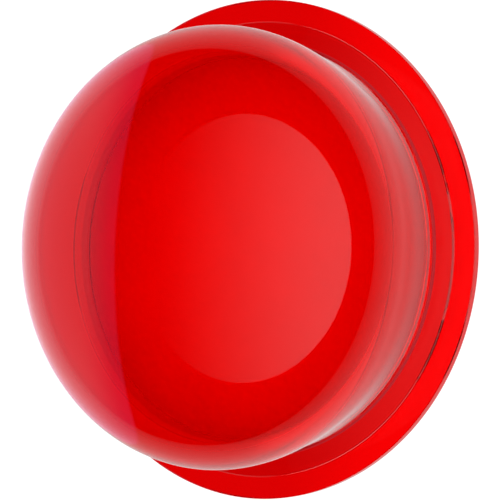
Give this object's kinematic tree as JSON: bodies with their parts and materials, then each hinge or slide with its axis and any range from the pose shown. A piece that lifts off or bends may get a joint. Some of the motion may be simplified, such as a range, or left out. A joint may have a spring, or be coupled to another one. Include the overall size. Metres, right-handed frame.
{
  "type": "illuminated dome pushbutton",
  "caption": "Round panel-mount quiz buzzer button: a large clear red dome slides in a stepped clear red bezel, with a lamp and snap-action switch below.",
  "frame": {"origin": "centre of the bezel's flat back face, where it sits on the panel", "axes": "+Z along the button's axis out of the panel, through the top of the dome; +Y towards the side that carries the switch"},
  "size_m": [0.1, 0.1, 0.102],
  "materials": {
    "clear_red": "clear red polycarbonate, polished",
    "white_plastic": "satin white moulding",
    "black_plastic": "fine textured black moulding",
    "grey_plastic": "fine textured grey moulding",
    "washer_rubber": "matt rubber",
    "spring_steel": "drawn and stamped spring steel",
    "contact_brass": "stamped brass",
    "board_green": "solder resist",
    "led_phosphor": "phosphor gel",
    "lamp_clear": "clear moulded plastic"
  },
  "bodies": {
    "housing": {"bezel_body": "clear_red", "lamp_bracket": "black_plastic", "lamp_socket": "grey_plastic", "lamp_terminal_front": "contact_brass", "lamp_terminal_rear": "contact_brass", "lamp_base": "white_plastic", "lamp_board": "board_green", "led_emitter": "led_phosphor", "lamp_lens": "lamp_clear", "switch_case": "black_plastic", "switch_cover": "grey_plastic", "switch_screw_left": "spring_steel", "switch_screw_right": "spring_steel", "lever_pin": "spring_steel", "terminal_com": "contact_brass", "terminal_no": "contact_brass", "terminal_nc": "contact_brass", "return_spring": "spring_steel"},
    "plunger": {"dome_lens": "clear_red", "diffuser_plate": "white_plastic", "plunger_stem": "white_plastic", "plunger_foot": "white_plastic"},
    "lever": {"switch_lever": "spring_steel"},
    "button": {"switch_button": "white_plastic"},
    "blade": {"contact_blade": "contact_brass"},
    "washer": {"panel_washer": "washer_rubber"},
    "nut": {"mounting_nut": "black_plastic"}
  },
  "joints": [
    {"name": "dome_press", "type": "slide", "parent": "housing", "child": "plunger", "axis": [0, 0, -1], "range_m": [0, 0.0019], "stiffness_N_per_m": 450, "springref_m": -0.004, "deforming": ["return_spring"]},
    {"name": "lever_turn", "type": "hinge", "parent": "housing", "child": "lever", "pos_m": [-0.0124, 0.0134, -0.036], "axis": [0, 1, 0], "range_deg": [0, 5.5]},
    {"name": "button_press", "type": "slide", "parent": "housing", "child": "button", "axis": [0, 0, -1], "range_m": [0, 0.0008]},
    {"name": "blade_turn", "type": "hinge", "parent": "housing", "child": "blade", "pos_m": [0.0074, 0.0134, -0.043], "axis": [0, -1, 0], "range_deg": [0, 4.1]},
    {"name": "washer_travel", "type": "slide", "parent": "housing", "child": "washer", "axis": [0, 0, -1], "range_m": [-0.003, 0.008]},
    {"name": "nut_turn", "type": "hinge", "parent": "washer", "child": "nut", "pos_m": [0, 0, -0.0108], "axis": [0, 0, -1], "range_deg": [-360, 960]}
  ],
  "couplings": [
    {"joint": "lever_turn", "follows": "dome_press", "rad_per_m": 49.02},
    {"joint": "button_press", "follows": "dome_press", "ratio": 0.41176},
    {"joint": "blade_turn", "follows": "dome_press", "rad_per_m": 36.12},
    {"joint": "washer_travel", "follows": "nut_turn", "m_per_rad": 0.00047746}
  ]
}
